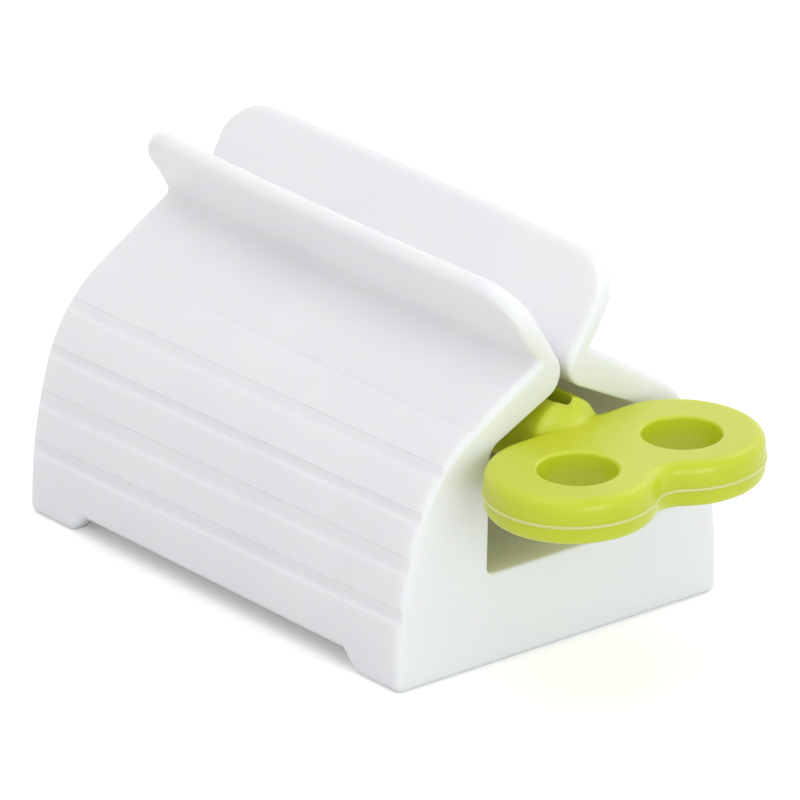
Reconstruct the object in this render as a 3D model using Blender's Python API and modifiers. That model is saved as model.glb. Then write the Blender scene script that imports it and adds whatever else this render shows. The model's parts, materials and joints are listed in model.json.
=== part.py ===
# Tube squeezer in two mouldings: a bell-shaped body with a flared mouth, grooved walls and a winding
# tunnel, and a split-shaft winding key that turns in the body's far end wall.
# Metres, +Z up. +X points from the bearing end to the key's handle, and the origin lies under the middle
# of the whole object, on the surface that it stands on.
import math

import bmesh
import bpy

mm = 0.001

# Body, outside
body_length = 73.0 * mm
base_width = 52.4 * mm
body_height = 48.8 * mm
straight_wall_height = 3.0 * mm
lower_wall_turn = math.radians(16.5)
shoulder_radius = 20.0 * mm
shoulder_slope = math.radians(32.0)
neck_fillet_radius = 1.6 * mm
bottom_edge_radius = 1.2 * mm
end_edge_radius = 1.0 * mm

# Body, mouth
lip_thickness = 2.6 * mm
lip_flare = math.radians(30.0)
lip_tip_spacing = 15.4 * mm
lip_corner_radius = 6.5 * mm
throat_gap = 1.1 * mm
throat_radius = 3.3 * mm

# Body, grooves along both walls: lower and upper edge of each, from the wall's foot to the roof's top
groove_edge_shares = ((0.176, 0.218), (0.332, 0.36), (0.455, 0.49), (0.596, 0.636), (0.759, 0.819))
groove_depth = 0.35 * mm
groove_upper_run = 0.15 * mm
groove_lower_run = 0.6 * mm

# Body, inside
wall_thickness = 2.6 * mm
end_wall_thickness = 3.0 * mm
tunnel_width = 24.0 * mm
tunnel_floor_radius = 1.0 * mm
tunnel_roof_radius = 2.5 * mm
roof_slope = math.radians(26.5)
roof_depth = 5.75 * mm
opening_edge_radius = 0.4 * mm
pocket_drop = 3.6 * mm

# Body, feet
foot_length = 8.3 * mm
foot_height = 2.4 * mm
foot_ramp_run = 2.5 * mm

# Key, shaft
shaft_radius = 5.4 * mm
shaft_tip_chamfer = 0.8 * mm
shaft_tip_inset = 0.4 * mm
shaft_overhang = 1.6 * mm
split_width = 3.0 * mm
split_end_gap = 1.0 * mm
nose_edge_radius = 0.8 * mm
nose_slope = math.radians(28.0)
nose_tip_radius = 1.5 * mm

# Key, handle
handle_thickness = 6.0 * mm
handle_drop = 0.5 * mm
handle_edge_radius = 1.5 * mm
handle_lobe_radius = 10.9 * mm
handle_lobe_spacing = 17.5 * mm
handle_back_depth = 11.1 * mm
handle_waist_radius = 3.5 * mm
finger_hole_spacing = 16.9 * mm
finger_hole_shift = 0.8 * mm
finger_hole_radius = 5.0 * mm
finger_hole_rim_radius = 0.7 * mm

# Clearances
bearing_clearance = 0.3 * mm
handle_clearance = 0.3 * mm
throat_clearance = 0.5316 * mm
tail_room = 9.8 * mm
overrun = 2.0 * mm
weld_distance = 0.001 * mm

# Facets
wall_steps = 16
corner_steps = 7
edge_steps = 4
small_arc_steps = 3
throat_steps = 6
lobe_steps = 24
turned_steps = 36
handle_edge_steps = 2
sharp_angle = math.radians(40.0)

# Places that follow from the sizes
handle_centre_from_end = handle_clearance + handle_back_depth
whole_length = body_length + handle_centre_from_end + handle_lobe_radius
body_start_x = -whole_length / 2
body_end_x = body_start_x + body_length
handle_centre_x = body_end_x + handle_centre_from_end
half_base = base_width / 2

# Directions along the cross-section: where the shoulder's arc, the lip's tip and the throat's nose end
shoulder_end = math.pi / 2 - shoulder_slope
lip_end = math.pi - lip_flare
roof_end = 3 * math.pi / 2 - roof_slope

# Heights, measured down from the top: lips, throat, shaft, tunnel floor, and the tops of the side pockets
lip_radius = lip_thickness / 2
lip_tip_height = body_height - lip_radius
lip_inner_at_tip = (lip_tip_spacing - lip_thickness / math.cos(lip_flare)) / 2
throat_across = throat_gap / 2 + throat_radius
lip_inner_run = lip_inner_at_tip + throat_radius / math.cos(lip_flare) - throat_across
throat_centre = (throat_across, lip_tip_height - lip_inner_run / math.tan(lip_flare))
key_axis_height = throat_centre[1] - throat_radius - throat_clearance - shaft_radius
handle_height = key_axis_height - handle_drop
tunnel_floor_height = key_axis_height - shaft_radius - tail_room
hollow_top_height = key_axis_height - pocket_drop


def arc(centre, radius, start, end, steps):
    """Points along an arc as (across, up, outward across, outward up); angles from the across axis."""
    points = []
    for i in range(steps + 1):
        angle = start + (end - start) * i / steps
        away = (math.cos(angle), math.sin(angle))
        points.append((centre[0] + radius * away[0], centre[1] + radius * away[1], *away))
    return points


def plain(points):
    return [(point[0], point[1]) for point in points]


def rounding_inset(radius, distance):
    """How far a rounded edge has drawn the surface in, at a distance from the end that it rounds."""
    if distance >= radius:
        return 0.0
    return radius - math.sqrt(radius ** 2 - (radius - distance) ** 2)


def tunnel_roof_start():
    """Where the throat's nose runs out into the tunnel's sloping roof."""
    return plain(arc(throat_centre, throat_radius, roof_end, roof_end, 1))[0]


def shoulder_centre():
    """Centre of the shoulder's arc: it touches the roof's outer slope, and the lower wall's arc joins it to
    the straight foot of the wall."""
    start_across, start_up = tunnel_roof_start()
    roof_up = start_up - (throat_across - start_across) * math.tan(roof_slope) + roof_depth
    # the lower wall's arc draws the centre in by this much for each unit that it lies higher
    draw = math.tan(lower_wall_turn / 2)
    lowest_across = half_base - shoulder_radius + straight_wall_height * draw
    sine, cosine = math.sin(shoulder_slope), math.cos(shoulder_slope)
    reach = (throat_across - lowest_across) * sine + roof_up * cosine - shoulder_radius
    up = reach / (cosine - draw * sine)
    return lowest_across - up * draw, up


def lower_wall_radius():
    rise = shoulder_centre()[1] - straight_wall_height
    return shoulder_radius + rise / math.sin(lower_wall_turn)


def lip_outer_point(height):
    """Where the lip's outer face lies at a height, on its straight stretch."""
    outer_at_tip = lip_tip_spacing / 2 + lip_radius / math.cos(lip_flare)
    return outer_at_tip - (lip_tip_height - height) * math.tan(lip_flare)


def neck_centre():
    """Centre of the hollow fillet between the roof's straight slope and the lip's outer face."""
    slope_across, slope_up = plain(arc(shoulder_centre(), shoulder_radius, 0.0, shoulder_end, 1))[1]
    # both faces are moved out by the fillet's radius, and the centre is where they cross
    slope_up += neck_fillet_radius / math.cos(shoulder_slope)
    lip_across = lip_outer_point(0.0) + neck_fillet_radius / math.cos(lip_flare)
    slope, flare = math.tan(shoulder_slope), math.tan(lip_flare)
    across = (lip_across + flare * (slope_up + slope * slope_across)) / (1 + flare * slope)
    return across, slope_up - slope * (across - slope_across)


def wall_lengths():
    """Lengths of the outer wall's straight foot, lower arc, shoulder arc and straight roof."""
    foot = straight_wall_height - bottom_edge_radius
    lower = lower_wall_radius() * lower_wall_turn
    shoulder = shoulder_radius * (shoulder_end - lower_wall_turn)
    run = neck_centre()[0] - shoulder_centre()[0]
    rise = neck_centre()[1] - shoulder_centre()[1]
    roof = math.hypot(run, rise) ** 2 - (shoulder_radius + neck_fillet_radius) ** 2
    return foot, lower, shoulder, math.sqrt(roof)


def wall_point(distance):
    """Point and outward direction on the outer wall, at a distance from the bottom edge's rounding."""
    foot, lower, shoulder, roof = wall_lengths()
    if distance <= foot:
        return half_base, bottom_edge_radius + distance, 1.0, 0.0
    if distance <= foot + lower:
        radius = lower_wall_radius()
        angle = (distance - foot) / radius
        return arc((half_base - radius, straight_wall_height), radius, angle, angle, 1)[0]
    if distance <= foot + lower + shoulder:
        angle = lower_wall_turn + (distance - foot - lower) / shoulder_radius
        return arc(shoulder_centre(), shoulder_radius, angle, angle, 1)[0]
    across, up, out_across, out_up = arc(shoulder_centre(), shoulder_radius, 0.0, shoulder_end, 1)[1]
    along = distance - foot - lower - shoulder
    return across - along * out_up, up + along * out_across, out_across, out_up


def wall_outline():
    """The outer wall with its grooves, as (across, up, outward across, outward up, groove depth)."""
    length = sum(wall_lengths())
    places = {length * i / wall_steps: 0.0 for i in range(wall_steps + 1)}
    for low_share, high_share in groove_edge_shares:
        low, high = length * low_share, length * high_share
        places = {place: depth for place, depth in places.items() if not low < place < high}
        places[low] = 0.0
        places[low + groove_lower_run] = groove_depth
        places[high - groove_upper_run] = groove_depth
        places[high] = 0.0
    return [(*wall_point(place), places[place]) for place in sorted(places)]


def throat_arc(start, end, steps, from_end):
    """Part of the throat's nose, whose end edge gets sharper from the lip towards the tunnel."""
    points = []
    for i in range(steps + 1):
        angle = start + (end - start) * i / steps
        share = (angle - lip_end) / (roof_end - lip_end)
        edge_radius = end_edge_radius + (opening_edge_radius - end_edge_radius) * share
        radius = throat_radius - rounding_inset(edge_radius, from_end)
        points += plain(arc(throat_centre, radius, angle, angle, 1)[:1])
    return points


def outside_half(from_end):
    """Half of the body's outside, from under its middle to the throat, drawn in by the end's rounding."""
    inset = rounding_inset(end_edge_radius, from_end)
    drop = rounding_inset(lip_corner_radius, from_end)
    points = [(0.0, inset)]
    corner = (half_base - bottom_edge_radius, bottom_edge_radius)
    points += plain(arc(corner, bottom_edge_radius - inset, -math.pi / 2, 0.0, small_arc_steps)[:-1])
    for across, up, out_across, out_up, depth in wall_outline():
        drawn_in = max(inset, depth)
        points.append((across - drawn_in * out_across, up - drawn_in * out_up))
    neck_radius = neck_fillet_radius + inset
    points += plain(arc(neck_centre(), neck_radius, math.pi + shoulder_end, lip_end, small_arc_steps)[1:])
    tip = (lip_tip_spacing / 2 - drop * math.sin(lip_flare), lip_tip_height - drop * math.cos(lip_flare))
    points += plain(arc(tip, lip_radius - inset, -lip_flare, lip_end, 2 * small_arc_steps))
    return points + throat_arc(lip_end, math.pi, small_arc_steps, from_end)


def tunnel_half(from_end):
    """Half of the tunnel, from the throat to the middle of its floor, widened at the opening's edge."""
    grown = rounding_inset(opening_edge_radius, from_end)
    points = throat_arc(math.pi, roof_end, throat_steps, from_end)[1:]
    start_across, start_up = tunnel_roof_start()
    eaves_across = tunnel_width / 2 - tunnel_roof_radius
    eaves_up = start_up - (eaves_across - start_across) * math.tan(roof_slope)
    eaves = (eaves_across, eaves_up - tunnel_roof_radius / math.cos(roof_slope))
    points += plain(arc(eaves, tunnel_roof_radius + grown, roof_end - math.pi, 0.0, edge_steps))
    corner = (tunnel_width / 2 - tunnel_floor_radius, tunnel_floor_height + tunnel_floor_radius)
    points += plain(arc(corner, tunnel_floor_radius + grown, 0.0, -math.pi / 2, small_arc_steps))
    return points + [(0.0, tunnel_floor_height - grown)]


def edge_distances(radius, steps):
    """Distances from an end at which a rounded edge of this radius gets a cross-section."""
    return {radius * (1 - math.cos(math.pi / 2 * i / steps)) for i in range(steps + 1)}


def body_stations():
    """Where the body's cross-sections stand: close together where edges and lip corners are round."""
    rounded = edge_distances(lip_corner_radius, corner_steps) | edge_distances(end_edge_radius, edge_steps)
    far_end = sorted(rounded | {end_wall_thickness})
    near_end = sorted(rounded | edge_distances(opening_edge_radius, small_arc_steps))
    stations = [body_start_x + place for place in far_end]
    return stations + [body_end_x - place for place in reversed(near_end)]


def section_path(made, x, half, mirror_first):
    """Vertices of both halves of an open outline that meets itself in the middle."""
    other = [(-across, up) for across, up in reversed(half)]
    path = other + half[1:] if mirror_first else half + other[1:]
    return [made.verts.new((x, across, up)) for across, up in path]


def skin(made, path, next_path):
    for i in range(len(path) - 1):
        made.faces.new((path[i], path[i + 1], next_path[i + 1], next_path[i]))


def make_body_blank(collection):
    """The body before its underside is hollowed: solid in the far end wall, and then open from the throat
    to the tunnel."""
    made = bmesh.new()
    wall_end = body_start_x + end_wall_thickness
    outsides, insides = [], []
    for x in body_stations():
        from_end = min(x - body_start_x, body_end_x - x)
        outside = section_path(made, x, outside_half(from_end), True)
        inside = [outside[-1], outside[0]]
        if x >= wall_end:
            inside[1:1] = section_path(made, x, tunnel_half(body_end_x - x), False)
        outsides.append(outside)
        insides.append(inside)
    for i in range(len(outsides) - 1):
        skin(made, outsides[i], outsides[i + 1])
        if len(insides[i]) == len(insides[i + 1]):
            skin(made, insides[i], insides[i + 1])
        else:
            skin(made, insides[i], [insides[i + 1][0], insides[i + 1][-1]])
            made.faces.new(insides[i + 1])
    made.faces.new(outsides[0])
    made.faces.new(outsides[-1] + insides[-1][1:-1])
    bmesh.ops.remove_doubles(made, verts=made.verts, dist=weld_distance)
    bmesh.ops.recalc_face_normals(made, faces=made.faces)
    return solid_object("squeezer_body", made, collection)


def solid_object(name, made, collection):
    """Writes a bmesh to a new object."""
    mesh = bpy.data.meshes.new(name)
    made.to_mesh(mesh)
    made.free()
    solid = bpy.data.objects.new(name, mesh)
    collection.objects.link(solid)
    return solid


def flat_solid(name, outline, thickness, collection, edge_radius=0.0):
    """A plate with the given outline, centred on its own plane, with rounded or sharp edges."""
    curve = bpy.data.curves.new(name, "CURVE")
    curve.dimensions = "2D"
    curve.fill_mode = "BOTH"
    curve.extrude = thickness / 2 - edge_radius
    curve.bevel_depth = edge_radius
    curve.bevel_resolution = handle_edge_steps
    curve.offset = -edge_radius
    spline = curve.splines.new("POLY")
    spline.points.add(len(outline) - 1)
    for point, (across, up) in zip(spline.points, outline):
        point.co = (across, up, 0.0, 1.0)
    spline.use_cyclic_u = True
    curve_object = bpy.data.objects.new(name + "_curve", curve)
    collection.objects.link(curve_object)
    graph = bpy.context.evaluated_depsgraph_get()
    mesh = bpy.data.meshes.new_from_object(curve_object.evaluated_get(graph))
    bpy.data.objects.remove(curve_object)
    welded = bmesh.new()
    welded.from_mesh(mesh)
    bpy.data.meshes.remove(mesh)
    bmesh.ops.remove_doubles(welded, verts=welded.verts, dist=weld_distance)
    return solid_object(name, welded, collection)


def turned_solid(name, profile, collection):
    """A solid turned about its own Z axis, from a profile of (radius, height) that starts and ends on it."""
    mesh = bpy.data.meshes.new(name)
    edges = [(i, i + 1) for i in range(len(profile) - 1)]
    mesh.from_pydata([(radius, 0.0, height) for radius, height in profile], edges, [])
    turned = bpy.data.objects.new(name, mesh)
    collection.objects.link(turned)
    screw = turned.modifiers.new("Turn", "SCREW")
    screw.axis = "Z"
    screw.steps = turned_steps
    screw.render_steps = turned_steps
    screw.use_normal_flip = True
    screw.use_merge_vertices = True
    screw.merge_threshold = weld_distance
    return turned


def add_boolean(target, tool, operation):
    tool.hide_render = True
    tool.display_type = "WIRE"
    modifier = target.modifiers.new(operation.title() + " " + tool.name, "BOOLEAN")
    modifier.operation = operation
    modifier.solver = "EXACT"
    modifier.object = tool


def stand_along_x(solid, middle_x, height):
    """Turns a plate so that its across axis is Y, its up axis is Z and its thickness runs along X."""
    solid.rotation_euler = (math.pi / 2, 0.0, math.pi / 2)
    solid.location = (middle_x, 0.0, height)


def inner_wall():
    """The side wall's inner face, from its foot to the hollow's top."""
    length = sum(wall_lengths())
    points = []
    for i in range(wall_steps + 1):
        across, up, out_across, out_up = wall_point(length * i / wall_steps)
        point = (across - wall_thickness * out_across, up - wall_thickness * out_up)
        if point[1] > hollow_top_height:
            share = (hollow_top_height - points[-1][1]) / (point[1] - points[-1][1])
            points.append((points[-1][0] + share * (point[0] - points[-1][0]), hollow_top_height))
            break
        points.append(point)
    return points


def make_hollow_cutter(collection):
    """The space under the tunnel and on both sides of it, open to the ground."""
    half = [(0.0, -overrun), (half_base - wall_thickness, -overrun)] + inner_wall()
    beside_tunnel = tunnel_width / 2 + wall_thickness
    half.append((beside_tunnel, hollow_top_height))
    half.append((beside_tunnel, tunnel_floor_height - wall_thickness))
    half.append((0.0, tunnel_floor_height - wall_thickness))
    outline = half + [(-across, up) for across, up in reversed(half[1:-1])]
    cutter = flat_solid("hollow_cutter", outline, body_length - 2 * end_wall_thickness, collection)
    stand_along_x(cutter, (body_start_x + body_end_x) / 2, 0.0)
    return cutter


def make_arch_cutter(collection):
    """The low arch between the feet, through both long walls."""
    half_top = body_length / 2 - foot_length - foot_ramp_run
    ramp_slope = foot_ramp_run / foot_height
    half_bottom = half_top + foot_ramp_run + overrun * ramp_slope
    outline = [(-half_bottom, -overrun), (half_bottom, -overrun)]
    outline += [(half_top, foot_height), (-half_top, foot_height)]
    cutter = flat_solid("arch_cutter", outline, base_width + overrun, collection)
    cutter.rotation_euler = (math.pi / 2, 0.0, 0.0)
    cutter.location = ((body_start_x + body_end_x) / 2, 0.0, 0.0)
    return cutter


def make_bearing_cutter(collection):
    """The round hole in the far end wall that carries the key's shaft."""
    radius = shaft_radius + bearing_clearance
    profile = [(0.0, -overrun), (radius, -overrun), (radius, end_wall_thickness + overrun)]
    cutter = turned_solid("bearing_cutter", profile + [(0.0, profile[-1][1])], collection)
    cutter.rotation_euler = (0.0, math.pi / 2, 0.0)
    cutter.location = (body_start_x, 0.0, key_axis_height)
    return cutter


def make_body(collection, cutters):
    body = make_body_blank(collection)
    add_boolean(body, make_hollow_cutter(cutters), "DIFFERENCE")
    add_boolean(body, make_arch_cutter(cutters), "DIFFERENCE")
    add_boolean(body, make_bearing_cutter(cutters), "DIFFERENCE")
    body.data.shade_smooth()
    body.data.set_sharp_from_angle(angle=sharp_angle)
    body.data.materials.append(make_material("white_plastic", (0.86, 0.86, 0.87), 0.42))
    return body


def handle_outline():
    """The handle seen from above: two lobes, straight towards the body, with a waist on the far side."""
    lobe_across = handle_lobe_spacing / 2
    # the waist's fillet touches both lobes
    reach = handle_lobe_radius + handle_waist_radius
    waist_x = math.sqrt(reach ** 2 - lobe_across ** 2)
    touch = math.asin(lobe_across / reach)
    right_lobe = plain(arc((0.0, lobe_across), handle_lobe_radius, math.pi, -touch, lobe_steps))
    back_stretch = handle_back_depth / handle_lobe_radius
    right_lobe = [(min(x, x * back_stretch), y) for x, y in right_lobe]
    waist = arc((waist_x, 0.0), handle_waist_radius, math.pi - touch, math.pi + touch, edge_steps)[1:-1]
    left_lobe = [(x, -y) for x, y in reversed(right_lobe)]
    return right_lobe + plain(waist) + left_lobe


def make_finger_hole_cutter(name, side, collection):
    """A finger hole with rounded rims."""
    rim_up = handle_thickness / 2 - finger_hole_rim_radius
    rim_centre = (finger_hole_radius + finger_hole_rim_radius, rim_up)
    upper = plain(arc(rim_centre, finger_hole_rim_radius, math.pi, math.pi / 2, small_arc_steps))
    upper += [(rim_centre[0], handle_thickness), (0.0, handle_thickness)]
    lower = [(radius, -height) for radius, height in reversed(upper)]
    cutter = turned_solid(name, lower + upper, collection)
    across = side * finger_hole_spacing / 2
    cutter.location = (handle_centre_x + finger_hole_shift, across, handle_height)
    return cutter


def make_shaft(collection):
    """The turned shaft, from its tip in the far end wall to the cone that runs out in the handle."""
    tip = body_start_x + shaft_tip_inset
    profile = [(0.0, tip), (shaft_radius - shaft_tip_chamfer, tip), (shaft_radius, tip + shaft_tip_chamfer)]
    edge_centre = (body_end_x + shaft_overhang - nose_edge_radius, shaft_radius - nose_edge_radius)
    cone_start = math.pi / 2 - nose_slope
    edge = plain(arc(edge_centre, nose_edge_radius, math.pi / 2, cone_start, small_arc_steps))
    profile += [(radius, along) for along, radius in edge]
    nose_end = edge[-1][0] + (edge[-1][1] - nose_tip_radius) / math.tan(nose_slope)
    profile += [(nose_tip_radius, nose_end), (0.0, nose_end)]
    shaft = turned_solid("shaft_blank", profile, collection)
    shaft.rotation_euler = (0.0, math.pi / 2, 0.0)
    shaft.location = (0.0, 0.0, key_axis_height)
    return shaft


def make_split_cutter(collection):
    """The upright slot that the tube's tail slides into, open at the tip and round towards the handle."""
    half_split = split_width / 2
    round_centre = (body_end_x + shaft_overhang - split_end_gap - half_split, 0.0)
    outline = [(body_start_x - overrun, half_split), (body_start_x - overrun, -half_split)]
    outline += plain(arc(round_centre, half_split, -math.pi / 2, math.pi / 2, 2 * edge_steps))
    cutter = flat_solid("split_cutter", outline, 2 * (shaft_radius + overrun), collection)
    cutter.location = (0.0, 0.0, key_axis_height)
    return cutter


def make_key(collection, cutters):
    key = flat_solid("winding_key", handle_outline(), handle_thickness, collection, handle_edge_radius)
    key.location = (handle_centre_x, 0.0, handle_height)
    add_boolean(key, make_finger_hole_cutter("left_hole_cutter", -1, cutters), "DIFFERENCE")
    add_boolean(key, make_finger_hole_cutter("right_hole_cutter", 1, cutters), "DIFFERENCE")
    add_boolean(key, make_shaft(cutters), "UNION")
    add_boolean(key, make_split_cutter(cutters), "DIFFERENCE")
    key.data.shade_smooth()
    key.data.set_sharp_from_angle(angle=sharp_angle)
    key.data.materials.append(make_material("lime_plastic", (0.52, 0.62, 0.06), 0.4))
    return key


def make_material(name, colour, roughness):
    material = bpy.data.materials.new(name)
    material.use_nodes = True
    shader = material.node_tree.nodes["Principled BSDF"]
    shader.inputs["Base Color"].default_value = (*colour, 1.0)
    shader.inputs["Roughness"].default_value = roughness
    shader.inputs["Metallic"].default_value = 0.0
    return material


def make_collection(name):
    collection = bpy.data.collections.new(name)
    bpy.context.scene.collection.children.link(collection)
    return collection


def main():
    for scene_object in list(bpy.data.objects):
        bpy.data.objects.remove(scene_object)
    parts = make_collection("tube_squeezer")
    cutters = make_collection("cutters")
    make_body(parts, cutters)
    make_key(parts, cutters)


main()
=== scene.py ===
import json
import math

import bmesh
import bpy
from mathutils import Matrix, Vector


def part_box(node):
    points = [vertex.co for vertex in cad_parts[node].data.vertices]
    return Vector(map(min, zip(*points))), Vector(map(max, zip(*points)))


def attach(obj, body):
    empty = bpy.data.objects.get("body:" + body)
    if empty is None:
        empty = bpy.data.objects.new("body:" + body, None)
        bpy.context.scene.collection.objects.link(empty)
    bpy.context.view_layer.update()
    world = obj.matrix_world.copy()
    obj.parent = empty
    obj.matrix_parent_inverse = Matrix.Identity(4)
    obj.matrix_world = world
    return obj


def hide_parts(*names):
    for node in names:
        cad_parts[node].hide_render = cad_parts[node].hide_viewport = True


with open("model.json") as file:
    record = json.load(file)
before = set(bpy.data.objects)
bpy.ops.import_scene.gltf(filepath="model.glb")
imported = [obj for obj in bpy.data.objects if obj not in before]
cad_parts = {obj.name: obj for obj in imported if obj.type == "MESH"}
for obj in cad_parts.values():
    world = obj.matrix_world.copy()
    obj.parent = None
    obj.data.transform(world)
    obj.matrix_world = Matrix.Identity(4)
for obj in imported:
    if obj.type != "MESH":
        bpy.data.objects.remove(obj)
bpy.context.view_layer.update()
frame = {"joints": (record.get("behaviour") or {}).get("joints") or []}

mm = 0.001
weld = 0.001 * mm
overrun = 1.0 * mm    # how far a cutting tool reaches past what it cuts
bodyLow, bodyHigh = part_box("squeezer_body")
keyLow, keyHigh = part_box("winding_key")
axisHeight = frame["joints"][0]["pos_m"][2]
print("frame loaded")


# Small tools for outlines

def arcPoint(centre, radius, angle):
    # point on a circle, as (across, up, outward across, outward up)
    away = (math.cos(angle), math.sin(angle))
    return (centre[0] + radius * away[0], centre[1] + radius * away[1], *away)


def arcPoints(centre, radius, start, end, steps):
    # points as (across, up), with both ends
    return [arcPoint(centre, radius, start + (end - start) * i / steps)[:2] for i in range(steps + 1)]


def linePoints(start, end, steps):
    # points between two ends, both left out
    return [(start[0] + (end[0] - start[0]) * i / steps, start[1] + (end[1] - start[1]) * i / steps)
            for i in range(1, steps)]


def swapped(points):
    return [(second, first) for first, second in points]


def clamped(share):
    return max(0.0, min(1.0, share))


def roundingInset(radius, distance):
    # how far a rounded edge has drawn the surface in, at a distance from the end that it rounds
    if distance >= radius:
        return 0.0
    return radius - math.sqrt(radius ** 2 - (radius - distance) ** 2)


# Small tools for meshes

def newObject(name, made):
    mesh = bpy.data.meshes.new(name)
    made.to_mesh(mesh)
    made.free()
    thing = bpy.data.objects.new(name, mesh)
    bpy.context.scene.collection.objects.link(thing)
    return thing


def band(made, lower, upper):
    # faces between two closed rings of points; a ring of one point is a tip
    count = max(len(lower), len(upper))
    for i in range(count):
        j = (i + 1) % count
        if len(lower) == 1:
            made.faces.new((lower[0], upper[i], upper[j]))
        elif len(upper) == 1:
            made.faces.new((lower[i], lower[j], upper[0]))
        else:
            made.faces.new((lower[i], lower[j], upper[j], upper[i]))


def plateOf(name, outline, low, high):
    # an upright-sided plate over an outline in X and Y
    made = bmesh.new()
    bottom = [made.verts.new((x, y, low)) for x, y in outline]
    top = [made.verts.new((x, y, high)) for x, y in outline]
    made.faces.new(bottom)
    made.faces.new(top)
    band(made, bottom, top)
    bmesh.ops.recalc_face_normals(made, faces=made.faces)
    return newObject(name, made)


def turnedAbout(name, profile, steps):
    # a solid turned about Z, from a profile of (radius, height) that starts and ends on the axis
    made = bmesh.new()
    turn = [2 * math.pi * i / steps for i in range(steps)]
    rings = []
    for radius, height in profile:
        if radius < weld:
            rings.append([made.verts.new((0.0, 0.0, height))])
        else:
            rings.append([made.verts.new((radius * math.cos(angle), radius * math.sin(angle), height))
                          for angle in turn])
    for lower, upper in zip(rings, rings[1:]):
        band(made, lower, upper)
    bmesh.ops.recalc_face_normals(made, faces=made.faces)
    return newObject(name, made)


def layOnAxis(thing):
    # from standing along Z to lying along the key's axis
    thing.data.transform(Matrix.Translation((0.0, 0.0, axisHeight)) @ Matrix.Rotation(math.pi / 2, 4, "Y"))


def boolean(target, tool, operation):
    step = target.modifiers.new(operation.title() + " " + tool.name, "BOOLEAN")
    step.operation = operation
    step.solver = "EXACT"
    step.object = tool


def settle(thing, tools=()):
    # turns the modified object into a plain mesh, and clears the tools away
    graph = bpy.context.evaluated_depsgraph_get()
    plain = bpy.data.meshes.new_from_object(thing.evaluated_get(graph))
    plain.name = thing.name
    thing.modifiers.clear()
    thing.data = plain
    for tool in tools:
        bpy.data.objects.remove(tool)


def softShade(thing, angle):
    thing.data.shade_smooth()
    thing.data.set_sharp_from_angle(angle=angle)


# Small tools for nodes

def addNode(tree, kind, **settings):
    node = tree.nodes.new(kind)
    for name, value in settings.items():
        setattr(node, name, value)
    return node


def feed(tree, socket, value):
    # an output is linked to the socket, and anything else is set on it
    if isinstance(value, bpy.types.NodeSocket):
        tree.links.new(value, socket)
    else:
        socket.default_value = value


def mathNode(tree, operation, *values):
    node = addNode(tree, "ShaderNodeMath", operation=operation)
    for socket, value in zip(node.inputs, values):
        feed(tree, socket, value)
    return node.outputs[0]


def startTree(name, sizes):
    # a Geometry Nodes tree that takes a mesh, its sizes and its material
    tree = bpy.data.node_groups.new(name, "GeometryNodeTree")
    for socketName, kind in (("Geometry", "Geometry"), *sizes, ("Material", "Material")):
        tree.interface.new_socket(socketName, in_out="INPUT", socket_type="NodeSocket" + kind)
    tree.interface.new_socket("Geometry", in_out="OUTPUT", socket_type="NodeSocketGeometry")
    return tree, addNode(tree, "NodeGroupInput").outputs


def finishTree(tree, geometry, material):
    real = addNode(tree, "GeometryNodeRealizeInstances")
    finish = addNode(tree, "GeometryNodeSetMaterial")
    made = addNode(tree, "NodeGroupOutput")
    tree.links.new(geometry, real.inputs["Geometry"])
    tree.links.new(real.outputs["Geometry"], finish.inputs["Geometry"])
    tree.links.new(material, finish.inputs["Material"])
    tree.links.new(finish.outputs["Geometry"], made.inputs["Geometry"])


def useTree(thing, tree, **values):
    # inputs are set by their sockets' identifiers; an underscore in a name here is a space there
    modifier = thing.modifiers.new(tree.name, "NODES")
    modifier.node_group = tree
    sockets = {item.name: item.identifier for item in tree.interface.items_tree if item.in_out == "INPUT"}
    for name, value in values.items():
        modifier[sockets[name.replace("_", " ")]] = value


# Plastic: colour and roughness drift slowly over a moulding, under the mould's fine grain

def startMaterial(name):
    material = bpy.data.materials.new(name)
    material.use_nodes = True
    tree = material.node_tree
    return material, tree, tree.nodes["Principled BSDF"]


def objectPlace(tree):
    return addNode(tree, "ShaderNodeTexCoord").outputs["Object"]


def noiseOn(tree, scale, detail, stretch=(1.0, 1.0, 1.0)):
    mapping = addNode(tree, "ShaderNodeMapping")
    mapping.inputs["Scale"].default_value = stretch
    tree.links.new(objectPlace(tree), mapping.inputs["Vector"])
    noise = addNode(tree, "ShaderNodeTexNoise")
    noise.inputs["Scale"].default_value = scale
    noise.inputs["Detail"].default_value = detail
    tree.links.new(mapping.outputs["Vector"], noise.inputs["Vector"])
    return noise.outputs["Fac"]


def rampOf(tree, factor, stops):
    ramp = addNode(tree, "ShaderNodeValToRGB")
    for element, (place, colour) in zip(ramp.color_ramp.elements, stops):
        element.position = place
        element.color = (*colour, 1.0)
    tree.links.new(factor, ramp.inputs["Fac"])
    return ramp.outputs["Color"]


def mixColours(tree, factor, first, second):
    mix = addNode(tree, "ShaderNodeMix", data_type="RGBA")
    # the colour inputs of this node come after its number and vector inputs
    for place, value in ((0, factor), (6, first), (7, second)):
        feed(tree, mix.inputs[place], value)
    return mix.outputs[2]


def spreadOf(tree, factor, low, high):
    # a noise lies mostly between its usual low and high, and is spread out between two values
    usualLow, usualHigh = 0.3, 0.7
    spread = addNode(tree, "ShaderNodeMapRange")
    for name, value in (("From Min", usualLow), ("From Max", usualHigh), ("To Min", low), ("To Max", high)):
        spread.inputs[name].default_value = value
    tree.links.new(factor, spread.inputs["Value"])
    return spread.outputs["Result"]


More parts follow.
